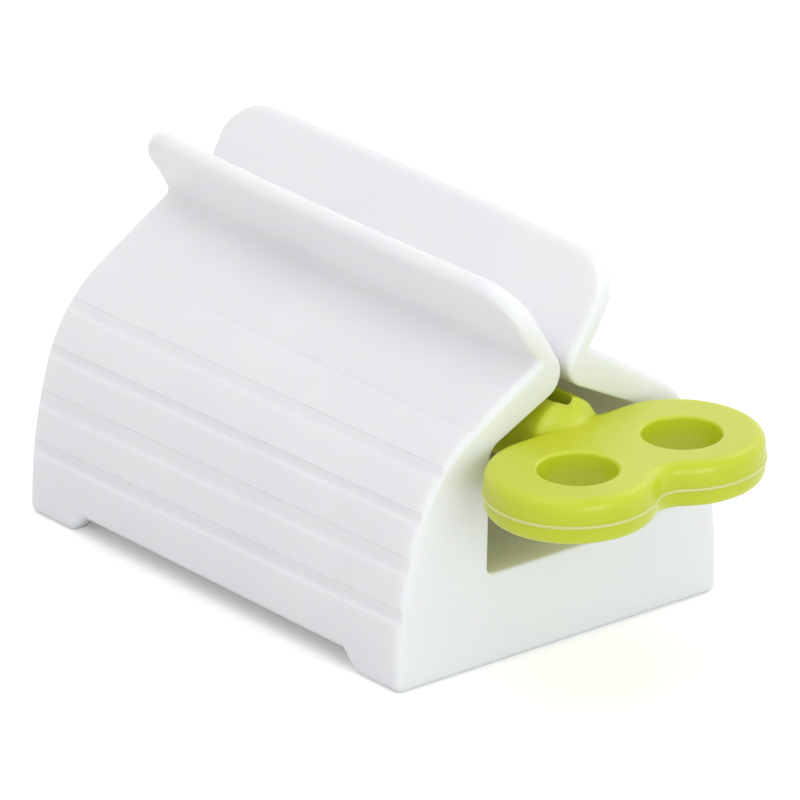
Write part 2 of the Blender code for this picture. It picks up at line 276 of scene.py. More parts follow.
def bumpFrom(tree, height, strength, distance, under=None):
    bump = addNode(tree, "ShaderNodeBump")
    bump.inputs["Strength"].default_value = strength
    bump.inputs["Distance"].default_value = distance
    tree.links.new(height, bump.inputs["Height"])
    if under is not None:
        tree.links.new(under, bump.inputs["Normal"])
    return bump.outputs["Normal"]


def makePlastic(name, look, deep, pale):
    material, tree, shader = startMaterial(name)
    drift = noiseOn(tree, look["driftScale"], look["driftDetail"], look["driftStretch"])
    grain = noiseOn(tree, look["grainScale"], look["grainDetail"])
    colour = rampOf(tree, drift, zip(look["colourStops"], (deep, pale)))
    waves = bumpFrom(tree, drift, look["waveStrength"], look["waveHeight"])
    surface = bumpFrom(tree, grain, look["grainStrength"], look["grainHeight"], waves)
    for socketName, value in (
            ("Base Color", colour),
            ("Roughness", spreadOf(tree, drift, *look["roughness"])),
            ("Normal", surface),
            ("IOR", look["ior"]),
            ("Subsurface Weight", look["scatter"]),
            ("Subsurface Radius", look["scatterShares"]),
            ("Subsurface Scale", look["scatterDepth"])):
        feed(tree, shader.inputs[socketName], value)
    return material, colour


# Body: one moulding with a bell-shaped section, flared lips, grooved walls and a winding tunnel

body = {
    "lowerWallRadius": 62.0 * mm,
    "lowerWallStart": 3.0 * mm,
    "lowerWallTurn": math.radians(16.5),
    "shoulderRadius": 20.0 * mm,
    "shoulderSlope": math.radians(32.0),
    "neckRadius": 0.7 * mm,
    "bottomEdgeRadius": 1.2 * mm,
    "endEdgeRadius": 1.0 * mm,
    "lipThickness": 2.6 * mm,
    "lipFlare": math.radians(30.0),
    "lipTipSpacing": 15.4 * mm,
    "lipCornerRadius": {"near": 6.5 * mm, "far": 5.3 * mm},
    "lipEndEdgeRadius": {"near": 1.15 * mm, "far": 0.5 * mm},
    "throatGap": 1.1 * mm,
    "throatRadius": 3.3 * mm,
    "wallThickness": 2.6 * mm,
    "endWallThickness": 3.0 * mm,
    "tunnelWidth": 24.0 * mm,
    "tunnelFloorHeight": 12.4 * mm,
    "tunnelFloorRadius": 1.0 * mm,
    "tunnelRoofRadius": 2.5 * mm,
    "roofSlope": math.radians(26.5),
    "openingEdgeRadius": 0.4 * mm,
    "hollowTopHeight": 24.0 * mm,
    "bearingRadius": 5.7 * mm,
    "bearingRimRadius": 0.3 * mm,
    "footLength": 8.3 * mm,
    "footHeight": 2.4 * mm,
    "footRampRun": 2.5 * mm,
    "archFadeHeight": 8.0 * mm,
    "lipSplay": 0.4 * mm,
    "lipBow": 0.7 * mm,
    "lipBulge": 0.3 * mm,
    "farLipDraw": 0.35 * mm,
    "farLipHollow": 0.2 * mm,
    "farLipPower": 6,    # the higher, the closer to the far end the lips change
    "roofSag": 0.35 * mm,
    "sagStart": 24.0 * mm,
    "wallSteps": 56,
    "lengthSteps": 16,
    "hollowSteps": 60,
    "sharpAngle": math.radians(32.0),
}

grooves = {
    # lower and upper edge as shares of the wall's run, share of the full depth, climb to the handle end
    "rows": (
        (0.156, 0.207, 1.0, 0.5 * mm),
        (0.292, 0.351, 0.8, 0.5 * mm),
        (0.436, 0.477, 1.0, 0.5 * mm),
        (0.573, 0.616, 1.0, 0.35 * mm),
        (0.737, 0.797, 0.5, 0.0),
    ),
    "depth": 0.35 * mm,
    "upperRun": 0.26 * mm,
    "lowerRun": 0.75 * mm,
    "floorFallShare": 0.4,
    "rimOffset": 0.06 * mm,
    "clearOfWallSteps": 0.2 * mm,
}

# what each point of the blank tells the grooves: where it is along the wall, which way the wall
# faces there, and how far it is from the nearer end
grooveMarks = {"wallPlace": "FLOAT", "outward": "FLOAT_VECTOR", "fromEnd": "FLOAT"}

bodyLength = bodyHigh.x - bodyLow.x
halfBase = (bodyHigh.y - bodyLow.y) / 2
bodyHeight = bodyHigh.z - bodyLow.z
lipRadius = body["lipThickness"] / 2
lipTipHeight = bodyHeight - lipRadius
shoulderEnd = math.pi / 2 - body["shoulderSlope"]
lipEnd = math.pi - body["lipFlare"]
roofEnd = 3 * math.pi / 2 - body["roofSlope"]
shoulderReach = body["lowerWallRadius"] - body["shoulderRadius"]
shoulderCentre = (halfBase - body["lowerWallRadius"] + shoulderReach * math.cos(body["lowerWallTurn"]),
                  body["lowerWallStart"] + shoulderReach * math.sin(body["lowerWallTurn"]))


def findNeckCentre():
    # where the roof's slope and the lip's outer face cross, once both are moved out by the fillet's radius
    slopeStart = arcPoint(shoulderCentre, body["shoulderRadius"], shoulderEnd)
    radius = body["neckRadius"]
    slope, flare = math.tan(body["shoulderSlope"]), math.tan(body["lipFlare"])
    slopeUp = slopeStart[1] + radius / math.cos(body["shoulderSlope"])
    lipAcross = body["lipTipSpacing"] / 2 + (lipRadius + radius) / math.cos(body["lipFlare"])
    lipAcross -= lipTipHeight * flare
    across = (lipAcross + flare * (slopeUp + slope * slopeStart[0])) / (1 + flare * slope)
    return across, slopeUp - slope * (across - slopeStart[0])


neckCentre = findNeckCentre()
throatAcross = body["throatGap"] / 2 + body["throatRadius"]
innerAtTip = (body["lipTipSpacing"] - body["lipThickness"] / math.cos(body["lipFlare"])) / 2
throatReach = innerAtTip + body["throatRadius"] / math.cos(body["lipFlare"]) - throatAcross
throatDrop = throatReach / math.tan(body["lipFlare"])
throatCentre = (throatAcross, lipTipHeight - throatDrop)
tunnelRoofStart = arcPoint(throatCentre, body["throatRadius"], roofEnd)
footRun = body["lowerWallStart"] - body["bottomEdgeRadius"]
lowerRun = body["lowerWallRadius"] * body["lowerWallTurn"]
shoulderRun = body["shoulderRadius"] * (shoulderEnd - body["lowerWallTurn"])
neckReach = math.hypot(neckCentre[0] - shoulderCentre[0], neckCentre[1] - shoulderCentre[1])
roofRun = math.sqrt(neckReach ** 2 - (body["shoulderRadius"] + body["neckRadius"]) ** 2)
wallRun = footRun + lowerRun + shoulderRun + roofRun


# satin polypropylene, whose drift is the slight waves that a moulding shrinks into
whitePlasticLook = {
    "colour": (0.85, 0.855, 0.88),
    "paler": (0.88, 0.882, 0.9),
    "colourStops": (0.35, 0.65),
    # painted bounce light: the tunnel's walls are painted warmer and lighter, standing in for the lime
    # key's light on them
    "tunnel": (0.975, 0.96, 0.8),
    "tunnelMargin": 0.35 * mm,
    "roughness": (0.34, 0.44),
    "ior": 1.49,
    "scatter": 0.6,
    "scatterDepth": 2.6 * mm,
    "scatterShares": (1.0, 0.88, 0.76),
    "grainScale": 2600.0,
    "grainDetail": 1.0,
    "grainStrength": 0.5,
    "grainHeight": 0.012 * mm,
    "driftScale": 55.0,
    "driftDetail": 3.0,
    "driftStretch": (1.0, 1.0, 1.0),
    "waveStrength": 0.35,
    "waveHeight": 0.05 * mm,
}


def insideTunnel(tree, margin):
    # where the painted bounce light goes: 1 on the tunnel's floor, walls and roof, up to the edges of its
    # opening, and 0 elsewhere
    place = addNode(tree, "ShaderNodeSeparateXYZ")
    tree.links.new(objectPlace(tree), place.inputs["Vector"])
    across = mathNode(tree, "ABSOLUTE", place.outputs["Y"])
    slope = math.tan(body["roofSlope"])
    roof = mathNode(tree, "ADD", place.outputs["Z"], mathNode(tree, "MULTIPLY", across, slope))
    mask = mathNode(tree, "LESS_THAN", across, body["tunnelWidth"] / 2 + margin)
    for operation, value, limit in (
            ("LESS_THAN", roof, tunnelRoofStart[1] + slope * tunnelRoofStart[0] + margin),
            ("GREATER_THAN", place.outputs["Z"], body["tunnelFloorHeight"] - margin),
            ("GREATER_THAN", place.outputs["X"], bodyLow.x + body["endWallThickness"] - margin),
            ("LESS_THAN", place.outputs["X"], bodyHigh.x - margin)):
        mask = mathNode(tree, "MULTIPLY", mask, mathNode(tree, operation, value, limit))
    return mask


def makeWhitePlastic():
    look = whitePlasticLook
    material, colour = makePlastic("satinWhitePlastic", look, look["colour"], look["paler"])
    # the tunnel's walls are painted warmer and lighter: painted bounce light from the lime key, which
    # shines on them
    tree = material.node_tree
    mask = insideTunnel(tree, look["tunnelMargin"])
    paintedBounceColour = mixColours(tree, mask, colour, (*look["tunnel"], 1.0))
    tree.links.new(paintedBounceColour, tree.nodes["Principled BSDF"].inputs["Base Color"])
    return material


whitePlastic = makeWhitePlastic()


def fromEndAt(x):
    # distance to the body's nearer end
    return min(x - bodyLow.x, bodyHigh.x - x)


def wallPoint(place):
    # point and outward direction on the outer wall, at a distance along it from the bottom's rounded edge
    if place <= footRun:
        return halfBase, body["bottomEdgeRadius"] + place, 1.0, 0.0
    place -= footRun
    if place <= lowerRun:
        centre = (halfBase - body["lowerWallRadius"], body["lowerWallStart"])
        return arcPoint(centre, body["lowerWallRadius"], place / body["lowerWallRadius"])
    place -= lowerRun
    angle = body["lowerWallTurn"] + min(place, shoulderRun) / body["shoulderRadius"]
    across, up, outAcross, outUp = arcPoint(shoulderCentre, body["shoulderRadius"], angle)
    along = max(0.0, place - shoulderRun)
    return across - along * outUp, up + along * outAcross, outAcross, outUp


def wallPlaces():
    # evenly along the wall, and close together in the grooves
    places = {wallRun * i / body["wallSteps"] for i in range(body["wallSteps"] + 1)}
    clear, rim = grooves["clearOfWallSteps"], grooves["rimOffset"]
    for row in grooves["rows"]:
        low, high = wallRun * row[0], wallRun * row[1]
        floorLow, crest = low + grooves["lowerRun"], high - grooves["upperRun"]
        places = {place for place in places if not low - clear < place < high + clear}
        places |= {low - rim, high + rim}
        places |= {low + grooves["lowerRun"] * i / 7 for i in range(7)}
        places |= {floorLow + (crest - floorLow) * i / 3 for i in range(3)}
        places |= {high - grooves["upperRun"] * i / 6 for i in range(7)}
    return sorted(places)


def tiltAt(place, towardsHandle):
    # the lower grooves climb a little towards the handle end; between two rows the tilt is shared out
    known = [(wallRun * (row[0] + row[1]) / 2, row[3]) for row in grooves["rows"]]
    known = [(0.0, 0.0)] + known + [(wallRun, 0.0)]
    for (start, first), (end, second) in zip(known, known[1:]):
        if place <= end:
            return towardsHandle * (first + (second - first) * (place - start) / (end - start))
    return 0.0


def bowAt(fromEnd):
    # 0 at the body's ends and 1 in the middle of its length
    away = 1 - 2 * fromEnd / bodyLength
    return 1 - away ** 2


def sagAt(up, fromEnd):
    # the long roof has sunk a little in the middle of its length
    share = clamped((up - body["sagStart"]) / (neckCentre[1] - body["sagStart"]))
    return body["roofSag"] * bowAt(fromEnd) * share ** 2 * (3 - 2 * share)


def splayed(points, fromEnd, towardsHandle, top, outer):
    # the lips stand a little wider than the straight section, and most in the middle of their length;
    # their outer face is slightly full, and at the far end slightly hollow and drawn in
    far = max(0.0, -towardsHandle) ** body["farLipPower"]
    splay = body["lipSplay"] + body["lipBow"] * bowAt(fromEnd) - body["farLipDraw"] * far
    fullness = body["lipBulge"] * (1 - far) - body["farLipHollow"] * far if outer else 0.0
    sag = body["roofSag"] * bowAt(fromEnd) if outer else 0.0
    moved = []
    for across, up in points:
        share = clamped((up - neckCentre[1]) / (lipTipHeight - neckCentre[1]))
        full = clamped((up - neckCentre[1]) / (top - neckCentre[1]))
        bulge = fullness * 4 * full * (1 - full)
        moved.append((across + splay * share + bulge, up - sag * (1 - share)))
    return moved


def throatPoints(start, end, steps, fromEnd):
    # part of the throat's nose, whose end edge gets sharper from the lip towards the tunnel
    points = []
    for i in range(steps + 1):
        angle = start + (end - start) * i / steps
        share = (angle - lipEnd) / (roofEnd - lipEnd)
        edge = body["endEdgeRadius"] + (body["openingEdgeRadius"] - body["endEdgeRadius"]) * share
        radius = body["throatRadius"] - roundingInset(edge, fromEnd)
        points.append(arcPoint(throatCentre, radius, angle)[:2])
    return points


def lipHalf(fromEnd, towardsHandle):
    # from the roof up the lip's outer face, over its tip and down into the throat
    side = "near" if towardsHandle > 0 else "far"
    flare = body["lipFlare"]
    drop = roundingInset(body["lipCornerRadius"][side], fromEnd)
    neckRadius = body["neckRadius"] + roundingInset(body["endEdgeRadius"], fromEnd)
    tipRadius = lipRadius - roundingInset(body["lipEndEdgeRadius"][side], fromEnd)
    tip = (body["lipTipSpacing"] / 2 - drop * math.sin(flare), lipTipHeight - drop * math.cos(flare))
    neck = arcPoints(neckCentre, neckRadius, math.pi + shoulderEnd, lipEnd, 10)[1:]
    tipArc = arcPoints(tip, tipRadius, -flare, lipEnd, 14)
    throat = throatPoints(lipEnd, math.pi, 8, fromEnd)
    outer = neck + linePoints(neck[-1], tipArc[0], 12)
    inner = tipArc + linePoints(tipArc[-1], throat[0], 12) + throat
    top = tipArc[0][1]
    return (splayed(outer, fromEnd, towardsHandle, top, True)
            + splayed(inner, fromEnd, towardsHandle, top, False))


def offWall(points):
    # points that no groove reaches
    return [(*point, 0.0, 0.0, 0.0) for point in points]


def outsideHalf(fromEnd, towardsHandle):
    # (across, up, place along the wall, outward across, outward up), from under the body up to the throat
    inset = roundingInset(body["endEdgeRadius"], fromEnd)
    edge = body["bottomEdgeRadius"]
    corner = (halfBase - edge, edge)
    under = [(0.0, inset)] + linePoints((0.0, inset), (corner[0], inset), 6)
    under += arcPoints(corner, edge - inset, -math.pi / 2, 0.0, 8)[:-1]
    wall = []
    for place in wallPlaces():
        across, up, outAcross, outUp = wallPoint(place + tiltAt(place, towardsHandle))
        up -= sagAt(up, fromEnd)
        wall.append((across - inset * outAcross, up - inset * outUp, place, outAcross, outUp))
    return offWall(under) + wall + offWall(lipHalf(fromEnd, towardsHandle))


def tunnelHalf(fromEnd):
    # from the throat to the middle of the tunnel's floor, widened where the opening's edge is rounded
    grown = roundingInset(body["openingEdgeRadius"], fromEnd)
    half = body["tunnelWidth"] / 2
    points = throatPoints(math.pi, roofEnd, 12, fromEnd)[1:]
    eavesAcross = half - body["tunnelRoofRadius"]
    eavesUp = tunnelRoofStart[1] - (eavesAcross - tunnelRoofStart[0]) * math.tan(body["roofSlope"])
    eaves = (eavesAcross, eavesUp - body["tunnelRoofRadius"] / math.cos(body["roofSlope"]))
    points += arcPoints(eaves, body["tunnelRoofRadius"] + grown, roofEnd - math.pi, 0.0, 10)
    radius = body["tunnelFloorRadius"]
    corner = (half - radius, body["tunnelFloorHeight"] + radius)
    points += arcPoints(corner, radius + grown, 0.0, -math.pi / 2, 8)
    points.append((0.0, body["tunnelFloorHeight"] - grown))
    return offWall(points)


def archLift(x):
    # how far the wall's bottom is raised between the feet
    return body["footHeight"] * clamped((fromEndAt(x) - body["footLength"]) / body["footRampRun"])


def bodyStations():
    # close together where an end's edges are rounded and where the feet end
    def rounded(radius, steps):
        return {radius * (1 - math.cos(math.pi / 2 * i / steps)) for i in range(steps + 1)}
    ends = rounded(body["lipCornerRadius"]["near"], 22) | rounded(body["endEdgeRadius"], 8)
    ends |= {body["footLength"] + body["footRampRun"] * i / 4 for i in range(5)}
    farEnd = sorted(ends | {body["endWallThickness"]})
    nearEnd = sorted(ends | rounded(body["openingEdgeRadius"], 5))
    start, steps = farEnd[-1], body["lengthSteps"]
    run = bodyLength - nearEnd[-1] - start
    between = [start + run * i / steps for i in range(1, steps)]
    return ([bodyLow.x + place for place in farEnd + between]
            + [bodyHigh.x - place for place in reversed(nearEnd)])


def sectionPath(made, marks, x, half, mirrorFirst):
    other = [(-across, up, place, -outAcross, outUp)
             for across, up, place, outAcross, outUp in reversed(half)]
    path = other + half[1:] if mirrorFirst else half + other[1:]
    low, high = body["bottomEdgeRadius"], body["archFadeHeight"]
    verts = []
    for across, up, place, outAcross, outUp in path:
        lift = archLift(x) * clamped((high - up) / (high - low))
        vert = made.verts.new((x, across, up + lift))
        vert[marks["wallPlace"]] = place
        vert[marks["outward"]] = (0.0, outAcross, outUp)
        vert[marks["fromEnd"]] = fromEndAt(x)
        verts.append(vert)
    return verts


def skin(made, path, nextPath):
    for i in range(len(path) - 1):
        made.faces.new((path[i], path[i + 1], nextPath[i + 1], nextPath[i]))


def makeBodyBlank():
    # solid in the far end wall, then open from the throat to the tunnel
    made = bmesh.new()
    kinds = {"FLOAT": made.verts.layers.float, "FLOAT_VECTOR": made.verts.layers.float_vector}
    marks = {name: kinds[kind].new(name) for name, kind in grooveMarks.items()}
    wallEnd = bodyLow.x + body["endWallThickness"]
    outsides, insides = [], []
    for x in bodyStations():
        towardsHandle = 2 * (x - bodyLow.x) / bodyLength - 1
        outside = sectionPath(made, marks, x, outsideHalf(fromEndAt(x), towardsHandle), True)
        inside = [outside[-1], outside[0]]
        if x >= wallEnd - weld:
            inside[1:1] = sectionPath(made, marks, x, tunnelHalf(bodyHigh.x - x), False)
        outsides.append(outside)
        insides.append(inside)
    for i in range(len(outsides) - 1):
        skin(made, outsides[i], outsides[i + 1])
        if len(insides[i]) == len(insides[i + 1]):
            skin(made, insides[i], insides[i + 1])
        else:
            skin(made, insides[i], [insides[i + 1][0], insides[i + 1][-1]])
            made.faces.new(insides[i + 1])
    made.faces.new(outsides[0])
    made.faces.new(outsides[-1] + insides[-1][1:-1])
    bmesh.ops.remove_doubles(made, verts=made.verts, dist=weld)
    bmesh.ops.recalc_face_normals(made, faces=made.faces)
    return newObject("moulded_body", made)


def grooveTree():
    # presses each groove into the wall: a short step at its upper edge, then a floor that falls gently
    # deeper, and a longer slope out to its lower edge
    tree, given = startTree("pressedGrooves", (
        ("Depth", "Float"), ("Upper Run", "Float"), ("Lower Run", "Float"),
        ("Floor Fall", "Float"), ("End Edge Radius", "Float")))
    marks = {}
    for name, kind in grooveMarks.items():
        mark = addNode(tree, "GeometryNodeInputNamedAttribute", data_type=kind)
        mark.inputs["Name"].default_value = name
        marks[name] = mark.outputs["Attribute"]

    def work(operation, *values):
        return mathNode(tree, operation, *values)

    def rise(start, end, way):
        share = addNode(tree, "ShaderNodeMapRange", interpolation_type=way)
        for name, value in (("Value", marks["wallPlace"]), ("From Min", start), ("From Max", end)):
            feed(tree, share.inputs[name], value)
        return share.outputs["Result"]

    total = 0.0
    for lowShare, highShare, depthShare, _ in grooves["rows"]:
        low, high = wallRun * lowShare, wallRun * highShare
        floorLow = work("ADD", low, given["Lower Run"])
        crest = work("SUBTRACT", high, given["Upper Run"])
        upper = work("SUBTRACT", 1.0, rise(crest, high, "SMOOTHSTEP"))
        fall = work("MULTIPLY", rise(floorLow, crest, "LINEAR"), given["Floor Fall"])
        pressed = work("MULTIPLY", upper, work("SUBTRACT", 1.0, fall))
        pressed = work("MULTIPLY", pressed, rise(low, floorLow, "SMOOTHSTEP"))
        total = work("ADD", total, work("MULTIPLY", pressed, depthShare))
    wanted = work("MULTIPLY", total, given["Depth"])
    # the end's rounded edge has drawn the wall in already, and a groove is cut no deeper than that
    radius = given["End Edge Radius"]
    shortfall = work("MAXIMUM", work("SUBTRACT", radius, marks["fromEnd"]), 0.0)
    squares = work("SUBTRACT", work("MULTIPLY", radius, radius), work("MULTIPLY", shortfall, shortfall))
    inset = work("SUBTRACT", radius, work("SQRT", work("MAXIMUM", squares, 0.0)))
    depth = work("MAXIMUM", work("SUBTRACT", wanted, inset), 0.0)
    push = addNode(tree, "ShaderNodeVectorMath", operation="SCALE")
    tree.links.new(marks["outward"], push.inputs[0])
    tree.links.new(work("MULTIPLY", depth, -1.0), push.inputs["Scale"])
    move = addNode(tree, "GeometryNodeSetPosition")
    tree.links.new(given["Geometry"], move.inputs["Geometry"])
    tree.links.new(push.outputs["Vector"], move.inputs["Offset"])
    finishTree(tree, move.outputs["Geometry"], given["Material"])
    return tree


def makeHollowTool():
    # the open underside, and the pocket on each side of the tunnel
    wall, top, steps = body["wallThickness"], body["hollowTopHeight"], body["hollowSteps"]
    half = [(0.0, -overrun), (halfBase - wall, -overrun)]
    for i in range(steps + 1):
        across, up, outAcross, outUp = wallPoint(wallRun * i / steps)
        if up - wall * outUp < top:
            half.append((across - wall * outAcross, up - wall * outUp))
    besideTunnel = body["tunnelWidth"] / 2 + wall
    underTunnel = body["tunnelFloorHeight"] - wall
    half += [(half[-1][0], top), (besideTunnel, top), (besideTunnel, underTunnel), (0.0, underTunnel)]
    outline = half + [(-across, up) for across, up in reversed(half[1:-1])]
    endWall = body["endWallThickness"]
    tool = plateOf("hollowTool", outline, bodyLow.x + endWall, bodyHigh.x - endWall)
    # the outline's X and Y become the body's Y and Z
    tool.data.transform(Matrix(((0, 0, 1, 0), (1, 0, 0, 0), (0, 1, 0, 0), (0, 0, 0, 1))))
    return tool


def makeBearingTool():
    # the round hole through the far end wall, with a rounded rim outside
    radius, rim, start = body["bearingRadius"], body["bearingRimRadius"], bodyLow.x
    end = start + body["endWallThickness"] + overrun
    profile = [(0.0, start - rim), (radius + 2 * rim, start - rim)]
    profile += swapped(arcPoints((start + rim, radius + rim), rim, math.pi, 1.5 * math.pi, 5))
    profile += [(radius, end), (0.0, end)]
    tool = turnedAbout("bearingTool", profile, 96)
    layOnAxis(tool)
    return tool


def makeBody():
    blank = makeBodyBlank()
    useTree(blank, grooveTree(), Depth=grooves["depth"], Upper_Run=grooves["upperRun"],
            Lower_Run=grooves["lowerRun"], Floor_Fall=grooves["floorFallShare"],
            End_Edge_Radius=body["endEdgeRadius"], Material=whitePlastic)
    tools = [makeHollowTool(), makeBearingTool()]
    for tool in tools:
        boolean(blank, tool, "DIFFERENCE")
    settle(blank, tools)
    for name in grooveMarks:
        blank.data.attributes.remove(blank.data.attributes[name])
    softShade(blank, body["sharpAngle"])
    blank.data.materials.clear()
    blank.data.materials.append(whitePlastic)
    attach(blank, "body")
    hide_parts("squeezer_body")


makeBody()
print("body made")


# Key: a split shaft that runs out into a flat handle with two finger holes

key = {
    "turn": math.radians(1.3),
    "shaftRadius": 5.4 * mm,
    "tipEdgeRadius": 0.8 * mm,
    "splitWidth": 3.0 * mm,
    "splitEndOverhang": 0.6 * mm,
    # how far beyond the body's end, and the nose's radius there
    "nose": ((0.3 * mm, 5.4 * mm), (1.1 * mm, 3.8 * mm), (2.4 * mm, 2.45 * mm), (3.6 * mm, 1.4 * mm)),
    "handleThickness": 6.0 * mm,
    "handleDrop": 0.5 * mm,
    "topEdgeRadius": 1.45 * mm,
    "bottomEdgeRadius": 1.3 * mm,
    "draft": 0.1 * mm,
    "sideInset": 0.14 * mm,
    "lobeRadius": 10.9 * mm,
    "lobeSpacing": 17.5 * mm,
    "backDepth": 11.1 * mm,
    "waistRadius": 3.5 * mm,
    "holeSpacing": 16.9 * mm,
    "holeShift": 0.8 * mm,
    "holeRadius": 5.0 * mm,
    "holeRimRadius": 0.4 * mm,
    "voxel": 0.32 * mm,
    "smoothFactor": 0.5,
    "smoothRepeats": 3,
    "blendReach": 1.0 * mm,
    "blendCoreShare": 0.3,
    "blendRepeats": 14,
    "sharpAngle": math.radians(40.0),
    "ridgeHeight": 2.6 * mm,
    "ridgeRadius": 0.24 * mm,
    "ridgeSides": 10,
    "ridgeSharpAngle": math.radians(60.0),
}

# slightly translucent lime plastic, whose colour flows in long faint streaks along the key
limePlasticLook = {
    "colour": (0.545, 0.615, 0.015),
    "paler": (0.6, 0.66, 0.03),
    # painted highlight: the parting bead's paler lime stands in for the light that catches it
    "ridge": (0.7, 0.75, 0.22),
    "colourStops": (0.35, 0.7),
    "roughness": (0.27, 0.36),
    "ior": 1.47,
    "scatter": 0.35,
    "scatterDepth": 2.2 * mm,
    "scatterShares": (0.9, 1.0, 0.25),
    "grainScale": 2200.0,
    "grainDetail": 1.0,
    "grainStrength": 0.5,
    "grainHeight": 0.01 * mm,
    "driftScale": 70.0,
    "driftDetail": 3.0,
    "driftStretch": (0.35, 1.0, 1.0),
    "waveStrength": 0.3,
    "waveHeight": 0.06 * mm,
}


def makeLimePlastic(name, deep, pale):
    return makePlastic(name, limePlasticLook, limePlasticLook[deep], limePlasticLook[pale])[0]


limePlastic = makeLimePlastic("limePlastic", "colour", "paler")
# the thin parting bead is painted paler than the key around it: a painted highlight where the bead catches
# the light
ridgeHighlightPlastic = makeLimePlastic("limePlasticRidgeHighlight", "ridge", "ridge")

handleX = keyHigh.x - key["lobeRadius"]
handleTop = axisHeight - key["handleDrop"] + key["handleThickness"] / 2
handleBottom = handleTop - key["handleThickness"]
handleBack = handleX - key["backDepth"]


def handleOutline(inset, lobeSteps):
    # two lobes seen from above, flattened towards the body, with a waist that touches both on the far side
    across = key["lobeSpacing"] / 2
    reach = key["lobeRadius"] + key["waistRadius"]
    waistX = math.sqrt(reach ** 2 - across ** 2)
    touch = math.asin(across / reach)
    radius = key["lobeRadius"] - inset
    stretch = (key["backDepth"] - inset) / radius
    lobe = arcPoints((0.0, across), radius, math.pi, -touch, lobeSteps)
    lobe = [(min(x, x * stretch), y) for x, y in lobe]
    waist = arcPoints((waistX, 0.0), key["waistRadius"] + inset, math.pi - touch, math.pi + touch, 12)
    outline = lobe + waist[1:-1] + [(x, -y) for x, y in reversed(lobe)]
    back = linePoints(outline[-1], outline[0], 20)
    return [(handleX + x, y) for x, y in outline + back]


def handleLevels():
    # (height, inset) round the handle's rounded edges, from its bottom up to its top
    low, high = key["bottomEdgeRadius"], key["topEdgeRadius"]
    side = key["sideInset"] + key["draft"]
    turn = [math.pi / 2 * i / 8 for i in range(9)]
    levels = [(handleBottom + low * (1 - math.cos(angle)), low * (1 - math.sin(angle)) + side)
              for angle in turn]
    levels.append((handleBottom + key["ridgeHeight"], key["sideInset"]))
    levels += [(handleTop - high * (1 - math.sin(angle)), high * (1 - math.cos(angle)) + side)
               for angle in turn]
    return levels


def makeHandleBlank():
    made = bmesh.new()
    rings = [[made.verts.new((x, y, height)) for x, y in handleOutline(inset, 72)]
             for height, inset in handleLevels()]
    for lower, upper in zip(rings, rings[1:]):
        band(made, lower, upper)
    made.faces.new(rings[0])
    made.faces.new(rings[-1])
    bmesh.ops.recalc_face_normals(made, faces=made.faces)
    return newObject("winding_key_moulding", made)


def noseRadiusAt(x):
    # the shaft ends in a short steep nose that sinks into the handle
    overhang = x - bodyHigh.x
    for (start, first), (end, second) in zip(key["nose"], key["nose"][1:]):
        if overhang <= end:
            return first + (second - first) * max(0.0, overhang - start) / (end - start)
    return 0.0


def makeShaft():
    tip, radius, edge = keyLow.x, key["shaftRadius"], key["tipEdgeRadius"]
    profile = [(0.0, tip)]
    profile += swapped(arcPoints((tip + edge, radius - edge), edge, math.pi, math.pi / 2, 6))
    profile += [(noseRadius, bodyHigh.x + overhang) for overhang, noseRadius in key["nose"]]
    profile.append((0.0, profile[-1][1]))
    shaft = turnedAbout("shaftBlank", profile, 128)
    layOnAxis(shaft)
    return shaft


def blendWeight(point):
    # 1 where shaft and handle meet, fading out around it
    if point.x < handleBack - key["blendReach"]:
        return 0.0
    fromAxis = math.hypot(point.y, point.z - axisHeight)
    offShaft = abs(fromAxis - noseRadiusAt(point.x))
    offHandle = min(abs(point.z - handleTop), abs(point.z - handleBottom), abs(point.x - handleBack))
    return clamped(1 + key["blendCoreShare"] - math.hypot(offShaft, offHandle) / key["blendReach"])


def smoothMoulding(thing, repeats, groupName=""):
    smooth = thing.modifiers.new("Smooth " + (groupName or "all"), "SMOOTH")
    smooth.factor = key["smoothFactor"]
    smooth.iterations = repeats
    if groupName:
        smooth.vertex_group = groupName


def makeHoleTool(name, side):
    rim, radius = key["holeRimRadius"], key["holeRadius"]
    half = key["handleThickness"] / 2
    upper = arcPoints((radius + rim, half - rim), rim, math.pi, math.pi / 2, 8)
    upper += [(radius + rim, half + rim), (0.0, half + rim)]
    profile = [(across, -up) for across, up in reversed(upper)] + upper
    tool = turnedAbout(name, profile, 96)
    place = (handleX + key["holeShift"], side * key["holeSpacing"] / 2, handleTop - half)
    tool.data.transform(Matrix.Translation(place))
    return tool


def makeSplitTool():
    half = key["splitWidth"] / 2
    centre = (bodyHigh.x + key["splitEndOverhang"] - half, 0.0)
    outline = [(keyLow.x - overrun, half), (keyLow.x - overrun, -half)]
    outline += arcPoints(centre, half, -math.pi / 2, math.pi / 2, 24)
    reach = key["shaftRadius"] + overrun
    return plateOf("splitTool", outline, axisHeight - reach, axisHeight + reach)


def turnKey(thing):
    # the key stands a touch off level, as the hand has left it
    about = Matrix.Translation((0.0, 0.0, axisHeight))
    thing.data.transform(about @ Matrix.Rotation(key["turn"], 4, "X") @ about.inverted())


def ridgeTree():
    # a thin bead along the line where the mould's halves met
    tree, given = startTree("partingRidge", (("Bead Radius", "Float"), ("Bead Sides", "Int")))
    path = addNode(tree, "GeometryNodeMeshToCurve")
    bead = addNode(tree, "GeometryNodeCurvePrimitiveCircle")
    sweep = addNode(tree, "GeometryNodeCurveToMesh")
    tree.links.new(given["Geometry"], path.inputs["Mesh"])
    tree.links.new(given["Bead Radius"], bead.inputs["Radius"])
    tree.links.new(given["Bead Sides"], bead.inputs["Resolution"])
    tree.links.new(path.outputs["Curve"], sweep.inputs["Curve"])
    tree.links.new(bead.outputs["Curve"], sweep.inputs["Profile Curve"])
    finishTree(tree, sweep.outputs["Mesh"], given["Material"])
    return tree


